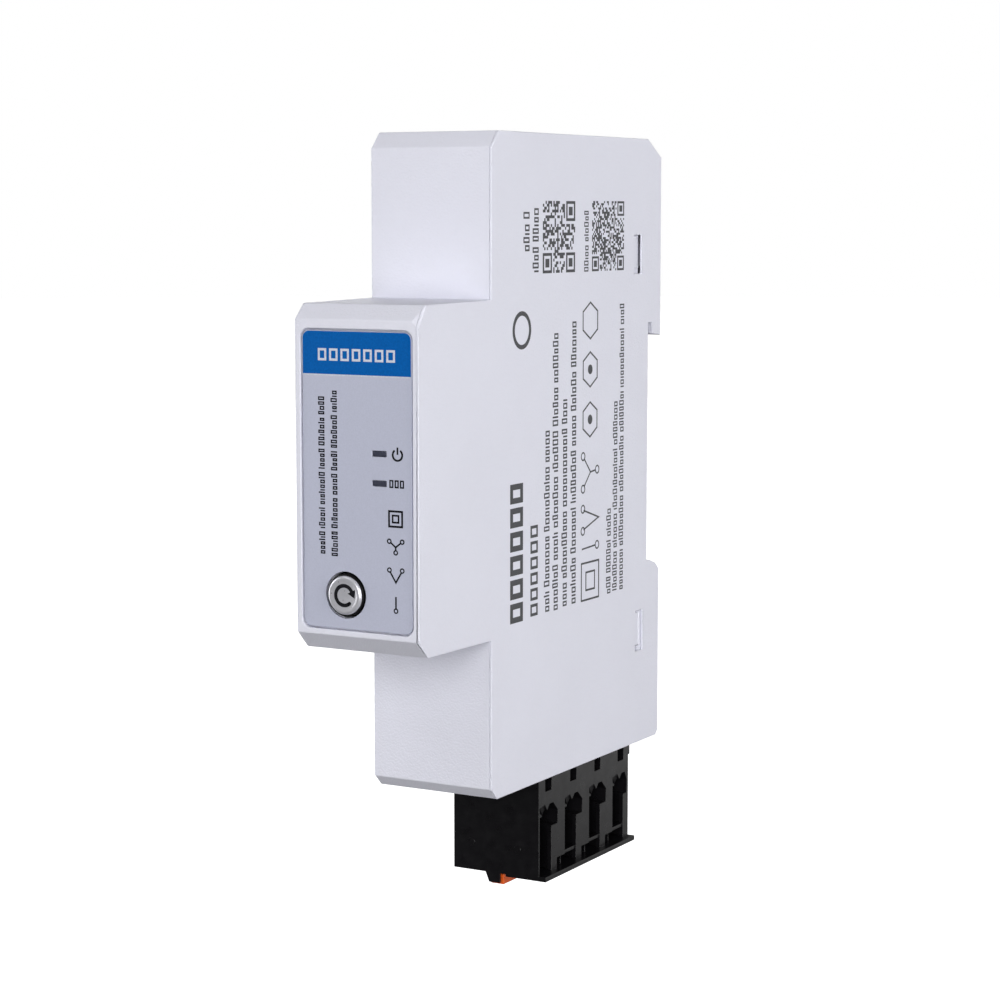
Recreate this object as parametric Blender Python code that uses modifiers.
"""Single-module DIN-rail energy meter with a pluggable four-pole mains connector.

X runs across the width (the removable side cover is at +X), the label faces -Y and +Z is up.
The origin is the middle of the flat face that rests on the front of a 35 mm rail.
All dimensions are in millimetres and are multiplied by MM where geometry is made.
"""

import math

import bmesh
import bpy
from mathutils import Vector

MM = 0.001
GAP = 0.3

# Overall envelope.
X_LEFT = -9.5
X_RIGHT = 9.5
Y_NOSE = -66.1
Y_SHOULDER = -47.3
Y_BACK = 4.1
Z_TOP = 45.0
Z_BOTTOM = -45.6

# Raised front nose.
NOSE_TOP = 22.4
NOSE_BOTTOM = -23.25
NOSE_DRAFT = 0.2
NOSE_TOP_CHAMFER = 2.0
NOSE_BOTTOM_CHAMFER = 2.3
CORNER_CUT_TOP = 1.0
CORNER_CUT_BOTTOM = 0.4

# 35 mm rail notch.
NOTCH_TOP = 17.8
NOTCH_BOTTOM = -18.0
HOOK_LIP = 15.8
HOOK_SLOT = 1.25
SEAT_TOP = 15.2
SEAT_BOTTOM = -16.0
SEAT_RELIEF = 0.2

# Walls, seam and side cover.
LEFT_WALL = 1.6
SEAM = 0.2
COVER_SKIN = 0.5
COVER_RIB = 0.6
X_RIM = X_RIGHT - COVER_SKIN - SEAM
X_SKIN = X_RIGHT - COVER_SKIN
X_COVER_INNER = X_SKIN - COVER_RIB
X_CAVITY = X_LEFT + LEFT_WALL

# Label panel and what shows through it.
LABEL_HALF_WIDTH = 8.35
LABEL_TOP = 18.95
LABEL_BOTTOM = -20.0
LABEL_FACE = -65.9
LABEL_THICKNESS = 0.45
RECESS_FLOOR = -65.2
NOSE_WALL_INNER = -64.0
BUTTON_X = -1.85
BUTTON_Z = -15.55
BUTTON_RADIUS = 2.8
BUTTON_HOLE_RADIUS = 3.1
LAMP_X = 3.42
LAMP_Z = (3.23, -0.61)
LAMP_WINDOW = (2.2, 0.8)

# Boards.
BOARD_X = -6.2
BOARD_THICKNESS = 1.2
FRONT_BOARD_Y = -58.5
FRONT_BOARD_THICKNESS = 1.0

# Mains plug: four poles at 7.62 mm pitch.
POLES = 4
PITCH = 7.62
PLUG_FRONT = -31.25
PLUG_BACK = -2.9
PLUG_LEFT = -6.0
PLUG_RIGHT = 8.0
PLUG_BASE = -60.4
PLUG_FLANGE = (-60.75, -60.05)
PLUG_FLANGE_RIGHT = 9.15
PLUG_STEP = -44.8
PLUG_TOP = -35.6
PIN_X = 1.15
POLE_Y = [
    (PLUG_FRONT + PLUG_BACK) / 2 + PITCH * (pole - (POLES - 1) / 2)
    for pole in range(POLES)
]
RELEASE_X = (-0.3, 1.9)
RELEASE_HALF = 2.0
RELEASE_Z = (-62.2, -50.1)

# Signal socket at the top: six poles at 3.81 mm pitch.
SIGNAL_POLES = 6
SIGNAL_PITCH = 3.81
SIGNAL_Y = -21.0
SIGNAL_X = -1.5

# Rail clip.
CLIP_TIP = -16.6
CLIP_END = -49.2

WHITE = (0.775, 0.775, 0.860)
BLACK = (0.012, 0.011, 0.013)
ORANGE = (0.75, 0.10, 0.010)
SILVER = (0.62, 0.62, 0.65)
STEEL = (0.55, 0.55, 0.57)
TIN = (0.66, 0.66, 0.64)
COPPER_TIN = (0.72, 0.60, 0.38)
BOARD_GREEN = (0.015, 0.105, 0.045)


def clear_scene():
    for obj in list(bpy.data.objects):
        bpy.data.objects.remove(obj, do_unlink=True)


def collection(name):
    group = bpy.data.collections.new(name)
    bpy.context.scene.collection.children.link(group)
    return group


clear_scene()
PARTS = collection("energy_meter")
CUTTERS = collection("cutters")


def finish(obj, color, roughness, metallic=0.0):
    """Give a part its own Principled material and put it in the part collection."""
    material = bpy.data.materials.new(obj.name + "_material")
    material.use_nodes = True
    shader = material.node_tree.nodes["Principled BSDF"]
    shader.inputs["Base Color"].default_value = (*color, 1.0)
    shader.inputs["Roughness"].default_value = roughness
    shader.inputs["Metallic"].default_value = metallic
    obj.data.materials.append(material)
    PARTS.objects.link(obj)
    return obj


def cutter(obj):
    """Mark an object as a cutting or joining tool, which is not a part of the meter."""
    CUTTERS.objects.link(obj)
    obj.hide_render = True
    obj.display_type = "WIRE"
    return obj


def to_object(name, bm, location):
    mesh = bpy.data.meshes.new(name)
    bm.to_mesh(mesh)
    bm.free()
    obj = bpy.data.objects.new(name, mesh)
    obj.location = Vector(location) * MM
    return obj


def block(name, x, y, z):
    """Rectangular block between (low, high) pairs on each axis."""
    size = [high - low for low, high in (x, y, z)]
    centre = [(high + low) / 2 for low, high in (x, y, z)]
    bm = bmesh.new()
    bmesh.ops.create_cube(bm, size=1.0)
    bmesh.ops.scale(bm, vec=Vector(size) * MM, verts=bm.verts)
    return to_object(name, bm, centre)


def rod(name, centre, axis, radius, length, segments=40):
    """Round rod of a given length, centred, along X, Y or Z."""
    bm = bmesh.new()
    bmesh.ops.create_cone(
        bm,
        cap_ends=True,
        segments=segments,
        radius1=radius * MM,
        radius2=radius * MM,
        depth=length * MM,
    )
    obj = to_object(name, bm, centre)
    turn = {"X": (0.0, math.pi / 2, 0.0), "Y": (math.pi / 2, 0.0, 0.0), "Z": (0.0, 0.0, 0.0)}
    obj.rotation_euler = turn[axis]
    round_shading(obj)
    return obj


def round_shading(obj, degrees=35.0):
    obj.data.shade_smooth()
    obj.data.set_sharp_from_angle(angle=math.radians(degrees))


def outline(name, loops, low, high, plane):
    """Flat outline between two levels.

    plane "YZ" extrudes a (y, z) outline along X, and "XZ" extrudes an (x, z) outline along Y.
    The first loop is the outer edge and any others are holes.
    """
    curve = bpy.data.curves.new(name, "CURVE")
    curve.dimensions = "2D"
    curve.fill_mode = "BOTH"
    curve.extrude = (high - low) * MM / 2
    for loop in loops:
        spline = curve.splines.new("POLY")
        spline.points.add(len(loop) - 1)
        spline.use_cyclic_u = True
        for point, (u, v) in zip(spline.points, loop):
            point.co = (u * MM, v * MM, 0.0, 1.0)
    drawn = bpy.data.objects.new(name + "_drawn", curve)
    middle = (high + low) * MM / 2
    if plane == "YZ":
        drawn.location = (middle, 0.0, 0.0)
        drawn.rotation_euler = (math.pi / 2, 0.0, math.pi / 2)
    else:
        drawn.location = (0.0, middle, 0.0)
        drawn.rotation_euler = (math.pi / 2, 0.0, 0.0)
    return as_mesh(drawn, name)


def as_mesh(drawn, name):
    """Turn a curve object into a closed mesh object that can be cut."""
    bpy.context.scene.collection.objects.link(drawn)
    depsgraph = bpy.context.evaluated_depsgraph_get()
    mesh = bpy.data.meshes.new_from_object(drawn.evaluated_get(depsgraph))
    bm = bmesh.new()
    bm.from_mesh(mesh)
    bmesh.ops.remove_doubles(bm, verts=bm.verts, dist=1e-6)
    bmesh.ops.recalc_face_normals(bm, faces=bm.faces)
    bm.to_mesh(mesh)
    bm.free()
    mesh.name = name
    solid = bpy.data.objects.new(name, mesh)
    solid.matrix_world = drawn.matrix_world.copy()
    bpy.data.objects.remove(drawn, do_unlink=True)
    return solid


def turned(name, profile, location, steps=48):
    """Part turned about the Y axis, from (radius, height) points listed top to bottom."""
    bm = bmesh.new()
    points = [bm.verts.new((radius * MM, 0.0, height * MM)) for radius, height in profile]
    for first, second in zip(points, points[1:]):
        bm.edges.new((first, second))
    obj = to_object(name, bm, location)
    obj.rotation_euler = (math.pi / 2, 0.0, 0.0)
    screw = obj.modifiers.new("turn", "SCREW")
    screw.steps = steps
    screw.render_steps = steps
    screw.use_merge_vertices = True
    screw.merge_threshold = 0.00001
    screw.use_smooth_shade = True
    return obj


def shape(target, tool, operation="DIFFERENCE"):
    """Cut a part with a tool, or join the tool to it."""
    modifier = target.modifiers.new(tool.name, "BOOLEAN")
    modifier.operation = operation
    modifier.solver = "EXACT"
    modifier.object = cutter(tool)


def join(target, tool):
    shape(target, tool, "UNION")


def rounded_rectangle(x, z, radius, steps=6):
    """Loop of a rectangle with round corners between (low, high) pairs."""
    corners = (
        (x[1] - radius, z[0] + radius, -90.0),
        (x[1] - radius, z[1] - radius, 0.0),
        (x[0] + radius, z[1] - radius, 90.0),
        (x[0] + radius, z[0] + radius, 180.0),
    )
    loop = []
    for cx, cz, start in corners:
        for step in range(steps + 1):
            angle = math.radians(start + 90.0 * step / steps)
            loop.append((cx + radius * math.cos(angle), cz + radius * math.sin(angle)))
    return loop


def circle(cx, cz, radius, segments=48):
    turn = 2.0 * math.pi / segments
    return [
        (cx + radius * math.cos(turn * i), cz + radius * math.sin(turn * i))
        for i in range(segments)
    ]


def rectangle(x, z):
    return [(x[0], z[0]), (x[1], z[0]), (x[1], z[1]), (x[0], z[1])]


def corner_tool(name, a, b, c, outward):
    """Block whose face lies on the plane through three points, on the outward side of it."""
    a, b, c = Vector(a), Vector(b), Vector(c)
    normal = (b - a).cross(c - a).normalized()
    if normal.dot(Vector(outward)) < 0:
        normal.negate()
    size = 6.0
    bm = bmesh.new()
    bmesh.ops.create_cube(bm, size=size * MM)
    obj = to_object(name, bm, (a + b + c) / 3 + normal * size / 2)
    obj.rotation_euler = normal.to_track_quat("Z", "Y").to_euler()
    return obj


# ---------------------------------------------------------------------------
# Housing: left wall, nose, shoulders, top, bottom and rail side in one moulding
# ---------------------------------------------------------------------------

FRONT_AND_TOP = [
    (Y_NOSE, NOSE_TOP - NOSE_TOP_CHAMFER),
    (Y_NOSE + NOSE_TOP_CHAMFER, NOSE_TOP),
    (Y_SHOULDER, NOSE_TOP + NOSE_DRAFT),
    (Y_SHOULDER, Z_TOP - 2.2),
    (Y_SHOULDER + 2.0, Z_TOP),
    (Y_BACK - 4.4, Z_TOP),
    (Y_BACK, Z_TOP - 2.6),
    (Y_BACK, HOOK_LIP),
    (HOOK_SLOT + 0.3, HOOK_LIP + 0.3),
    (HOOK_SLOT, NOTCH_TOP),
]

FOOT_AND_BOTTOM = [
    (1.25, NOTCH_BOTTOM - 0.2),
    (3.0, NOTCH_BOTTOM - 0.8),
    (Y_BACK, NOTCH_BOTTOM - 1.7),
    (Y_BACK, Z_BOTTOM + 0.6),
    (Y_BACK - 0.6, Z_BOTTOM),
    (Y_SHOULDER + 1.6, Z_BOTTOM),
    (Y_SHOULDER, Z_BOTTOM + 1.55),
    (Y_SHOULDER, NOSE_BOTTOM - NOSE_DRAFT),
    (Y_NOSE + NOSE_BOTTOM_CHAMFER, NOSE_BOTTOM),
    (Y_NOSE, NOSE_BOTTOM + NOSE_BOTTOM_CHAMFER),
]

# The rail rests on the body's seat, which stands proud of a relief at each end of the notch.
BODY_SEAT = [
    (-SEAT_RELIEF, NOTCH_TOP),
    (-SEAT_RELIEF, SEAT_TOP),
    (0.0, SEAT_TOP),
    (0.0, SEAT_BOTTOM),
    (-SEAT_RELIEF, SEAT_BOTTOM),
    (-SEAT_RELIEF, NOTCH_BOTTOM),
]
COVER_SEAT = [(0.0, NOTCH_TOP), (0.0, NOTCH_BOTTOM)]
BODY_OUTLINE = FRONT_AND_TOP + BODY_SEAT + FOOT_AND_BOTTOM
COVER_OUTLINE = FRONT_AND_TOP + COVER_SEAT + FOOT_AND_BOTTOM

CAVITY_OUTLINE = [
    (NOSE_WALL_INNER, 19.8),
    (NOSE_WALL_INNER + 0.9, 20.8),
    (Y_SHOULDER + 1.6, 21.0),
    (Y_SHOULDER + 1.6, 42.4),
    (Y_SHOULDER + 2.6, 43.4),
    (-1.0, 43.4),
    (2.4, 41.4),
    (2.4, 19.6),
    (-1.7, 19.6),
    (-1.7, -16.4),
    (-2.6, -17.2),
    (-2.6, -44.0),
    (Y_SHOULDER + 2.4, -44.0),
    (Y_SHOULDER + 1.6, -43.2),
    (Y_SHOULDER + 1.6, -22.0),
    (NOSE_WALL_INNER + 0.9, -21.7),
    (NOSE_WALL_INNER, -20.8),
]


def corner_cuts(target, tag):
    """Facets across the two right-hand corners of the nose, larger at the top."""
    top = NOSE_TOP - NOSE_TOP_CHAMFER
    bottom = NOSE_BOTTOM + NOSE_BOTTOM_CHAMFER
    shape(target, corner_tool(
        "cut_corner_top_" + tag,
        (X_RIGHT, Y_NOSE + NOSE_TOP_CHAMFER, NOSE_TOP),
        (X_RIGHT - CORNER_CUT_TOP, Y_NOSE, top),
        (X_RIGHT, Y_NOSE, top - CORNER_CUT_TOP),
        (1.0, -1.0, 1.0),
    ))
    shape(target, corner_tool(
        "cut_corner_bottom_" + tag,
        (X_RIGHT, Y_NOSE + NOSE_BOTTOM_CHAMFER, NOSE_BOTTOM),
        (X_RIGHT - CORNER_CUT_BOTTOM, Y_NOSE, bottom),
        (X_RIGHT, Y_NOSE, bottom + CORNER_CUT_BOTTOM),
        (1.0, -1.0, -1.0),
    ))


def make_housing():
    body = outline("housing_body", [BODY_OUTLINE], X_LEFT, X_RIM, "YZ")
    shape(body, outline("cut_cavity", [CAVITY_OUTLINE], X_CAVITY, X_RIGHT + 1.0, "YZ"))

    # Label recess, button hole and light-pipe holes in the front wall.
    edge = GAP - 0.05
    recess = rounded_rectangle(
        (-LABEL_HALF_WIDTH - edge, LABEL_HALF_WIDTH + edge),
        (LABEL_BOTTOM - edge, LABEL_TOP + edge),
        1.25,
    )
    shape(body, outline("cut_label_recess", [recess], Y_NOSE - 1.0, RECESS_FLOOR, "XZ"))
    shape(body, rod(
        "cut_button_hole", (BUTTON_X, Y_NOSE, BUTTON_Z), "Y", BUTTON_HOLE_RADIUS, 8.0, 48
    ))
    for number, z in enumerate(LAMP_Z, 1):
        shape(body, block(
            f"cut_lamp_hole_{number}", (LAMP_X - 1.7, LAMP_X + 1.7), (-67.0, -63.0),
            (z - 1.05, z + 1.05),
        ))

    # Opening in the bottom wall for the mains plug and in the top wall for the signal socket.
    shape(body, block(
        "cut_plug_opening", (PLUG_LEFT - GAP, X_RIGHT + 1.0), (PLUG_FRONT - GAP, PLUG_BACK + GAP),
        (Z_BOTTOM - 1.0, -42.0),
    ))
    half = signal_half_length() + 1.0 + GAP
    shape(body, block(
        "cut_signal_opening", (SIGNAL_X - 4.7, SIGNAL_X + 4.7), (SIGNAL_Y - half, SIGNAL_Y + half),
        (42.0, Z_TOP + 1.0),
    ))

    # Groove for the rail clip: a wide track with a narrower mouth at the back.
    shape(body, block("cut_clip_track", (-6.5, 6.5), (0.5, 2.3), (Z_BOTTOM - 1.0, -15.0)))
    shape(body, block("cut_clip_mouth", (-5.2, 5.2), (2.0, 5.0), (Z_BOTTOM - 1.0, -15.0)))
    join(body, block("join_clip_stop", (-1.3, 1.3), (0.2, 3.4), (-43.1, -41.4)))

    # Snap hooks that engage the side cover's windows.
    join(body, block("join_hook_upper", (X_LEFT + 0.5, 9.1), (-4.6, -3.2), (26.0, 30.6)))
    join(body, block("join_hook_upper_web", (X_LEFT + 0.5, 8.1), (-3.6, 3.0), (26.0, 30.6)))
    join(body, block("join_hook_lower", (X_LEFT + 0.5, 9.1), (-3.5, -2.0), (-30.8, -25.7)))

    # Pairs of ribs that hold the front board at its top and bottom edges.
    board_back = FRONT_BOARD_Y + FRONT_BOARD_THICKNESS
    for number, (z, side) in enumerate((((18.9, 21.5), 1), ((-22.4, -19.8), -1)), 1):
        join(body, block(
            f"join_board_rib_{number}a", (-8.5, 7.6),
            (FRONT_BOARD_Y - GAP - 0.9, FRONT_BOARD_Y - GAP), z,
        ))
        join(body, block(
            f"join_board_rib_{number}b", (-8.5, 7.6), (board_back + GAP, board_back + GAP + 0.9), z,
        ))

    corner_cuts(body, "body")
    return finish(body, WHITE, 0.55)


def make_side_cover():
    """Flat cover: a thin skin over the whole outline and a plate that drops inside the walls."""
    cover = outline("side_cover", [COVER_OUTLINE], X_SKIN, X_RIGHT, "YZ")
    inner = [
        (NOSE_WALL_INNER + 0.4, 19.4),
        (NOSE_WALL_INNER + 1.0, 20.4),
        (Y_SHOULDER + 2.0, 20.6),
        (Y_SHOULDER + 2.0, 42.2),
        (Y_SHOULDER + 2.8, 43.0),
        (-5.0, 43.0),
        (-5.0, 19.2),
        (-2.1, 19.2),
        (-2.1, -16.2),
        (-3.9, -17.4),
        (-3.9, -43.6),
        (Y_SHOULDER + 2.6, -43.6),
        (Y_SHOULDER + 2.0, -43.0),
        (Y_SHOULDER + 2.0, -21.6),
        (NOSE_WALL_INNER + 1.0, -21.3),
        (NOSE_WALL_INNER + 0.4, -20.4),
    ]
    join(cover, outline("join_cover_plate", [inner], X_COVER_INNER, X_SKIN + 0.2, "YZ"))
    shape(cover, block("cut_window_upper", (8.0, 10.0), (-4.85, -2.35), (25.2, 30.85)))
    shape(cover, block("cut_window_lower", (8.0, 10.0), (-3.75, -1.3), (-31.5, -25.45)))
    corner_cuts(cover, "cover")
    return finish(cover, WHITE, 0.55)


def make_front_label():
    """Thin printed panel with two lamp windows and the button hole."""
    loops = [
        rounded_rectangle((-LABEL_HALF_WIDTH, LABEL_HALF_WIDTH), (LABEL_BOTTOM, LABEL_TOP), 1.0),
        circle(BUTTON_X, BUTTON_Z, BUTTON_HOLE_RADIUS),
    ]
    width, height = LAMP_WINDOW
    for z in LAMP_Z:
        loops.append(rectangle(
            (LAMP_X - width / 2, LAMP_X + width / 2), (z - height / 2, z + height / 2)
        ))
    label = outline("front_label", loops, LABEL_FACE, LABEL_FACE + LABEL_THICKNESS, "XZ")
    return finish(label, (0.42, 0.43, 0.50), 0.45)


# ---------------------------------------------------------------------------
# Front controls
# ---------------------------------------------------------------------------

def make_reset_button():
    """Silver push button with a rounded rim, a flat middle and a retaining flange."""
    profile = [(0.0, 0.35), (1.55, 0.35)]
    for step in range(1, 7):
        angle = math.radians(15.0 * step)
        profile.append((1.55 + 1.25 * math.sin(angle), -0.25 + 0.6 * math.cos(angle)))
    profile += [
        (BUTTON_RADIUS, -2.3),
        (3.8, -2.3),
        (3.8, -3.1),
        (0.0, -3.1),
    ]
    button = turned("reset_button", profile, (BUTTON_X, Y_NOSE + 0.1, BUTTON_Z))
    return finish(button, SILVER, 0.28, 0.9)


def make_tact_switch():
    base = block(
        "tact_switch_body", (BUTTON_X - 3.0, BUTTON_X + 3.0), (-61.9, FRONT_BOARD_Y - GAP),
        (BUTTON_Z - 3.0, BUTTON_Z + 3.0),
    )
    shape(base, rod("cut_plunger_well", (BUTTON_X, -61.9, BUTTON_Z), "Y", 2.0, 3.4, 32))
    finish(base, BLACK, 0.5)
    plunger = rod("tact_switch_plunger", (BUTTON_X, -61.7, BUTTON_Z), "Y", 1.7, 1.8, 32)
    finish(plunger, (0.70, 0.68, 0.62), 0.5)


def make_lamps():
    """Two light pipes and the lamps behind them."""
    for name, z in zip(("power", "comm"), LAMP_Z):
        pipe = block(
            f"{name}_light_pipe", (LAMP_X - 1.4, LAMP_X + 1.4), (-65.1, -61.4),
            (z - 0.75, z + 0.75),
        )
        join(pipe, block(
            f"join_{name}_pipe_flange", (LAMP_X - 2.1, LAMP_X + 2.1), (-63.6, -62.8),
            (z - 1.4, z + 1.4),
        ))
        finish(pipe, (0.055, 0.06, 0.085), 0.2)
        lamp = block(
            f"{name}_lamp", (LAMP_X - 1.4, LAMP_X + 1.4), (-61.0, FRONT_BOARD_Y - GAP),
            (z - 0.8, z + 0.8),
        )
        finish(lamp, (0.8, 0.8, 0.75), 0.3)


# ---------------------------------------------------------------------------
# Boards and what is soldered to them
# ---------------------------------------------------------------------------

BOARD_OUTLINE = [
    (-45.2, 42.6),
    (-2.2, 42.6),
    (-2.2, 31.4),
    (-5.0, 31.4),
    (-5.0, 25.2),
    (-2.2, 25.2),
    (-2.2, -15.6),
    (-4.0, -17.4),
    (-4.0, -43.4),
    (-45.2, -43.4),
    (-45.2, -19.2),
    (-56.4, -19.2),
    (-56.4, 18.4),
    (-45.2, 18.4),
]


def make_boards():
    main = outline(
        "main_board", [BOARD_OUTLINE], BOARD_X - BOARD_THICKNESS, BOARD_X, "YZ"
    )
    finish(main, BOARD_GREEN, 0.45)
    front = block(
        "front_board", (-7.0, 7.4), (FRONT_BOARD_Y, FRONT_BOARD_Y + FRONT_BOARD_THICKNESS),
        (-20.6, 19.9),
    )
    finish(front, BOARD_GREEN, 0.45)
    link = block("board_link", (BOARD_X + GAP, -3.4), (-57.2, -49.0), (-9.0, 9.0))
    finish(link, BLACK, 0.5)


def on_board(name, y, z, height, color, roughness, metallic=0.0):
    """Rectangular component standing on the main board."""
    return finish(
        block(name, (BOARD_X + GAP, BOARD_X + GAP + height), y, z), color, roughness, metallic
    )


def make_transformer():
    """Flyback transformer: a ferrite frame around a wound bobbin."""
    low = BOARD_X + GAP
    frame = [
        rectangle((low, low + 12.4), (3.0, 17.0)),
        rectangle((low + 2.6, low + 9.8), (5.4, 14.6)),
    ]
    core = outline("transformer_core", frame, -20.0, -15.0, "XZ")
    finish(core, (0.03, 0.03, 0.032), 0.6)
    winding = block("transformer_winding", (low + 3.0, low + 9.4), (-22.5, -12.5), (5.8, 14.2))
    finish(winding, (0.62, 0.42, 0.05), 0.5)


def make_components():
    ground = BOARD_X + GAP
    make_transformer()
    can = rod("bulk_capacitor", (ground + 4.2, -30.0, 9.5), "Z", 4.0, 13.0, 32)
    finish(can, (0.02, 0.03, 0.08), 0.35)
    can = rod("output_capacitor", (ground + 3.3, -9.2, -4.0), "Z", 3.1, 9.0, 28)
    finish(can, (0.02, 0.03, 0.08), 0.35)
    disc = rod("varistor", (ground + 5.4, -11.0, -22.0), "Y", 5.1, 3.6, 32)
    finish(disc, (0.03, 0.10, 0.30), 0.5)
    drum = rod("choke", (ground + 3.6, -20.5, -6.0), "X", 3.4, 7.0, 32)
    finish(drum, (0.05, 0.05, 0.05), 0.5)
    barrel = rod("fuse", (ground + 2.2, -19.0, -20.0), "Z", 1.9, 11.0, 24)
    finish(barrel, (0.55, 0.50, 0.42), 0.4)
    on_board("film_capacitor", (-33.0, -26.0), (-27.0, -13.0), 11.0, (0.62, 0.46, 0.05), 0.4)
    on_board("metering_chip", (-41.6, -34.4), (-7.0, 3.6), 2.2, (0.02, 0.02, 0.022), 0.45)
    on_board("controller_chip", (-43.0, -36.0), (22.0, 29.0), 1.3, (0.02, 0.02, 0.022), 0.45)
    on_board("transceiver_chip", (-31.0, -27.0), (24.0, 29.0), 1.7, (0.02, 0.02, 0.022), 0.45)
    on_board("signal_isolator", (-20.0, -9.8), (21.4, 28.6), 2.5, (0.02, 0.02, 0.022), 0.45)
    on_board("crystal", (-42.0, -38.2), (9.0, 19.6), 3.4, STEEL, 0.3, 0.9)


# ---------------------------------------------------------------------------
# Signal socket in the top
# ---------------------------------------------------------------------------

def signal_half_length():
    return SIGNAL_PITCH * (SIGNAL_POLES - 1) / 2 + 2.1


def make_signal_socket():
    half = signal_half_length()
    socket = block(
        "signal_socket", (SIGNAL_X - 4.4, SIGNAL_X + 4.4), (SIGNAL_Y - half - 1.0, SIGNAL_Y + half + 1.0),
        (33.6, 44.6),
    )
    shape(socket, block(
        "cut_signal_well", (SIGNAL_X - 3.4, SIGNAL_X + 3.4), (SIGNAL_Y - half, SIGNAL_Y + half),
        (35.4, 46.0),
    ))
    for pole in range(SIGNAL_POLES):
        y = SIGNAL_Y + SIGNAL_PITCH * (pole - (SIGNAL_POLES - 1) / 2)
        shape(socket, block(
            f"cut_signal_pin_hole_{pole + 1}", (SIGNAL_X - 0.8, SIGNAL_X + 0.8), (y - 0.8, y + 0.8),
            (33.0, 36.0),
        ))
        pin = outline(
            f"signal_pin_{pole + 1}",
            [[
                (SIGNAL_X - 0.45, 33.1),
                (SIGNAL_X - 0.45, 40.0),
                (SIGNAL_X + 0.45, 40.0),
                (SIGNAL_X + 0.45, 32.2),
                (BOARD_X + GAP, 32.2),
                (BOARD_X + GAP, 33.1),
            ]],
            y - 0.45, y + 0.45, "XZ",
        )
        finish(pin, TIN, 0.3, 1.0)
    return finish(socket, (0.02, 0.02, 0.022), 0.5)


# ---------------------------------------------------------------------------
# Mains header and plug
# ---------------------------------------------------------------------------

def make_mains_header():
    header = block(
        "mains_header", (BOARD_X + 0.5, PLUG_RIGHT), (PLUG_FRONT - 0.65, PLUG_BACK), (-43.7, -33.4)
    )
    shape(header, block(
        "cut_header_well", (-4.6, 6.9), (PLUG_FRONT + 0.55, PLUG_BACK - 0.7), (-46.0, -35.2)
    ))
    for pole, y in enumerate(POLE_Y, 1):
        shape(header, block(
            f"cut_header_pin_hole_{pole}", (PIN_X - 0.8, PIN_X + 0.8), (y - 0.8, y + 0.8),
            (-36.0, -33.0),
        ))
        pin = outline(
            f"mains_pin_{pole}",
            [[
                (PIN_X + 0.5, -43.0),
                (PIN_X + 0.5, -31.2),
                (BOARD_X + GAP, -31.2),
                (BOARD_X + GAP, -32.2),
                (PIN_X - 0.5, -32.2),
                (PIN_X - 0.5, -43.0),
            ]],
            y - 0.5, y + 0.5, "XZ",
        )
        finish(pin, TIN, 0.3, 1.0)
    return finish(header, (0.02, 0.02, 0.022), 0.5)


def plug_frame():
    """Empty on the plug's pull-off axis that carries every piece of the plug."""
    frame = bpy.data.objects.new("mains_plug", None)
    frame.location = Vector((PIN_X, (PLUG_FRONT + PLUG_BACK) / 2, PLUG_BASE)) * MM
    PARTS.objects.link(frame)
    return frame


def attach(obj, frame):
    obj.location = obj.location - frame.location
    obj.parent = frame
    return obj


def plug_section():
    """(x, z) section of the plug: a wide lower block with a flange and a narrower upper part."""
    flange_low, flange_high = PLUG_FLANGE
    return [
        (PLUG_LEFT, PLUG_BASE),
        (2.6, PLUG_BASE),
        (2.6, flange_low),
        (PLUG_FLANGE_RIGHT, flange_low),
        (PLUG_FLANGE_RIGHT, flange_high),
        (PLUG_RIGHT, flange_high),
        (PLUG_RIGHT, PLUG_STEP),
        (6.6, PLUG_STEP),
        (6.6, PLUG_TOP),
        (-4.3, PLUG_TOP),
        (-4.3, PLUG_STEP),
        (PLUG_LEFT, PLUG_STEP),
    ]


def cut_plug_face(plug, pole, y):
    """Groove beside a rib, the windows above it and the opening at its foot, on the right-hand face."""
    left, rib = y - 2.4, y + 1.1
    right = min(y + 3.0, PLUG_BACK - 0.5)
    floor = PLUG_FLANGE[1]
    groove = [
        (left, floor),
        (left, -50.2),
        (y - 0.2, -51.8),
        (y - 0.2, -53.3),
        (rib, -53.3),
        (rib, floor),
    ]
    shape(plug, outline(f"cut_plug_groove_{pole}", [groove], 7.2, 9.0, "YZ"))
    shape(plug, block(
        f"cut_plug_hollow_{pole}", (3.4, 7.3), (left + 0.3, y + 1.9), (floor, -52.0)
    ))
    arch = [
        (y - 0.3, -53.4),
        (y - 0.3, -51.0),
        (y + 0.6, -50.1),
        (y + 1.6, -50.1),
        (right, -51.4),
        (right, -53.4),
    ]
    shape(plug, outline(f"cut_plug_window_{pole}", [arch], 4.4, 9.0, "YZ"))
    # Facet that slopes into the groove's upper end.
    facet = outline(f"cut_plug_facet_{pole}", [[
        (left, -50.25),
        (y - 0.9, -49.95),
        (y - 0.1, -51.0),
        (y - 0.1, -51.9),
    ]], 7.0, 9.0, "YZ")
    shape(facet, corner_tool(
        f"cut_plug_slope_{pole}", (8.0, left, -50.2), (8.0, y - 0.9, -49.9), (7.2, y - 0.2, -51.8),
        (1.0, 0.0, 0.0),
    ), "INTERSECT")
    shape(plug, facet)
    shape(plug, block(
        f"cut_plug_probe_{pole}", (5.6, 9.0), (y - 0.76, y + 1.14), (-48.1, -45.7)
    ))
    if pole < POLES:
        shape(plug, block(
            f"cut_plug_foot_{pole}", (3.4, 9.0), (y + 2.8, y + PITCH - 2.3), (floor, -58.5)
        ))
    if pole > 1:
        join(plug, block(
            f"join_plug_ledge_{pole}", (7.0, 7.8), (left - 0.3, rib + 0.3), (-58.5, -58.0)
        ))


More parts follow.
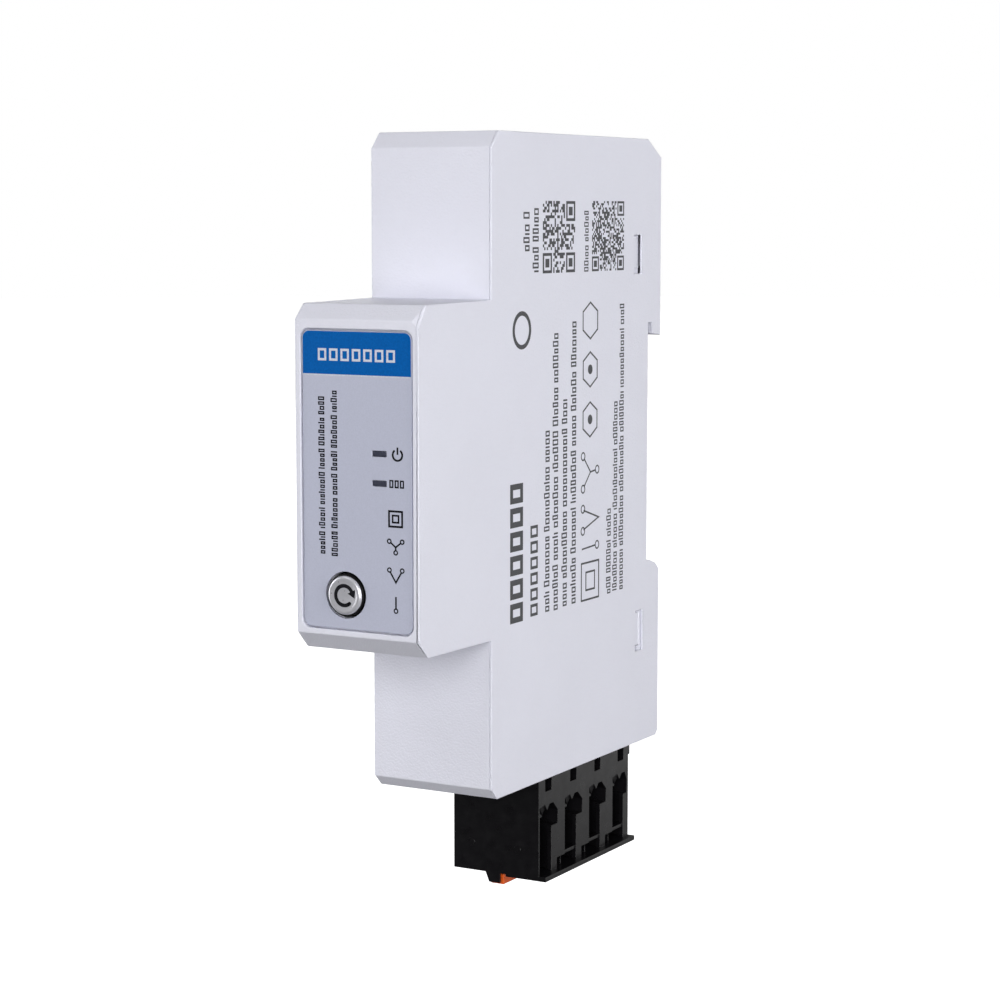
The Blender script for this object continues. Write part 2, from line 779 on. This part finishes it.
def cut_plug_pole(plug, pole, y):
    """Inner spaces of one pole: wire entry, clamp chamber, release channel and pin slot."""
    shape(plug, block(
        f"cut_wire_entry_{pole}", (-5.2, -1.3), (y - 1.95, y + 1.95), (-62.0, -50.5)
    ))
    shape(plug, block(
        f"cut_clamp_chamber_{pole}", (-5.2, 2.75), (y - 2.3, y + 2.3), (-51.2, -45.5)
    ))
    shape(plug, block(
        f"cut_contact_chamber_{pole}", (-1.0, 3.3), (y - 2.3, y + 2.3), (-46.0, -36.9)
    ))
    shape(plug, block(
        f"cut_release_channel_{pole}", (RELEASE_X[0] - GAP, RELEASE_X[1] + GAP),
        (y - RELEASE_HALF - GAP, y + RELEASE_HALF + GAP), (-63.0, -51.0),
    ))
    shape(plug, block(
        f"cut_pin_slot_{pole}", (PIN_X - 0.85, PIN_X + 0.85), (y - 0.9, y + 0.9), (-37.5, -35.0)
    ))


def make_plug(frame):
    plug = outline("plug_housing", [plug_section()], PLUG_FRONT, PLUG_BACK, "XZ")
    # The part that enters the header is shorter than the lower block.
    shape(plug, block(
        "cut_plug_top_front", (-7.0, 10.0), (PLUG_FRONT - 1.0, PLUG_FRONT + 0.85), (PLUG_STEP, -34.0)
    ))
    shape(plug, block(
        "cut_plug_top_back", (-7.0, 10.0), (PLUG_BACK - 1.0, PLUG_BACK + 1.0), (PLUG_STEP, -34.0)
    ))
    # Nub under the front end face.
    nub = [(-0.95, -59.9), (-0.16, -61.85), (1.61, -61.85), (1.61, -59.9)]
    join(plug, outline("join_plug_nub", [nub], PLUG_FRONT, PLUG_FRONT + 0.4, "XZ"))
    for pole, y in enumerate(POLE_Y, 1):
        cut_plug_pole(plug, pole, y)
        cut_plug_face(plug, pole, y)
    finish(plug, BLACK, 0.5)
    attach(plug, frame)


def make_plug_pieces(frame):
    for pole, y in enumerate(POLE_Y, 1):
        release = block(
            f"release_button_{pole}", RELEASE_X, (y - RELEASE_HALF, y + RELEASE_HALF), RELEASE_Z
        )
        attach(finish(release, ORANGE, 0.45), frame)

        # Spring contact: a fork around the pin with a leg down to the wire clamp.
        contact = outline(
            f"plug_contact_{pole}",
            [[
                (PIN_X - 1.3, -37.3),
                (PIN_X - 1.3, -45.8),
                (-4.9, -45.8),
                (-4.9, -50.0),
                (-4.5, -50.0),
                (-4.5, -46.2),
                (PIN_X + 1.3, -46.2),
                (PIN_X + 1.3, -37.3),
                (PIN_X + 0.9, -37.3),
                (PIN_X + 0.9, -45.8),
                (PIN_X - 0.9, -45.8),
                (PIN_X - 0.9, -37.3),
            ]],
            y - 1.6, y + 1.6, "XZ",
        )
        attach(finish(contact, COPPER_TIN, 0.3, 1.0), frame)

        # Clamp spring: a folded strip that the release button lifts.
        spring = outline(
            f"clamp_spring_{pole}",
            [[
                (-4.1, -46.6),
                (2.1, -46.6),
                (2.3, -47.0),
                (2.3, -48.7),
                (2.0, -49.0),
                (-3.8, -50.9),
                (-3.9, -50.6),
                (1.8, -48.75),
                (1.95, -48.6),
                (1.95, -47.1),
                (1.8, -46.95),
                (-4.1, -46.95),
            ]],
            y - 1.3, y + 1.3, "XZ",
        )
        attach(finish(spring, STEEL, 0.25, 1.0), frame)


# ---------------------------------------------------------------------------
# Rail clip and its spring
# ---------------------------------------------------------------------------

def make_clip():
    """Sliding clip: a wide track plate, a narrower slide, a grip behind the rail and a pull tab."""
    side = [
        (0.8, -19.4),
        (0.8, CLIP_END),
        (3.8, CLIP_END),
        (3.8, CLIP_TIP - 1.6),
        (3.2, CLIP_TIP - 0.6),
        (1.9, CLIP_TIP),
        (1.35, CLIP_TIP),
        (1.35, -19.4),
    ]
    clip = outline("rail_clip", [side], -4.9, 4.9, "YZ")
    join(clip, block("join_clip_track", (-6.2, 6.2), (0.8, 2.0), (-45.0, -19.4)))
    shape(clip, block("cut_clip_window", (-1.8, 1.8), (0.0, 5.0), (-43.5, -33.2)))
    shape(clip, block("cut_clip_tab_slot", (-2.2, 2.2), (0.0, 5.0), (-48.3, -46.9)))
    return finish(clip, (0.03, 0.03, 0.032), 0.5)


def make_clip_spring():
    turns, per_turn, radius, wire = 6, 12, 1.05, 0.2
    low, high = -41.0, -33.8
    curve = bpy.data.curves.new("clip_spring", "CURVE")
    curve.dimensions = "3D"
    curve.bevel_depth = wire * MM
    curve.bevel_resolution = 2
    curve.use_fill_caps = True
    spline = curve.splines.new("POLY")
    count = turns * per_turn
    spline.points.add(count)
    for i, point in enumerate(spline.points):
        angle = 2.0 * math.pi * i / per_turn
        rise = (high - low) * i / count
        point.co = (
            radius * MM * math.cos(angle), radius * MM * math.sin(angle), rise * MM, 1.0
        )
    spring = bpy.data.objects.new("clip_spring", curve)
    spring.location = Vector((0.0, 2.05, low)) * MM
    return finish(spring, STEEL, 0.25, 1.0)


make_housing()
make_side_cover()
make_front_label()
make_reset_button()
make_tact_switch()
make_lamps()
make_boards()
make_components()
make_signal_socket()
make_mains_header()
PLUG = plug_frame()
make_plug(PLUG)
make_plug_pieces(PLUG)
make_clip()
make_clip_spring()
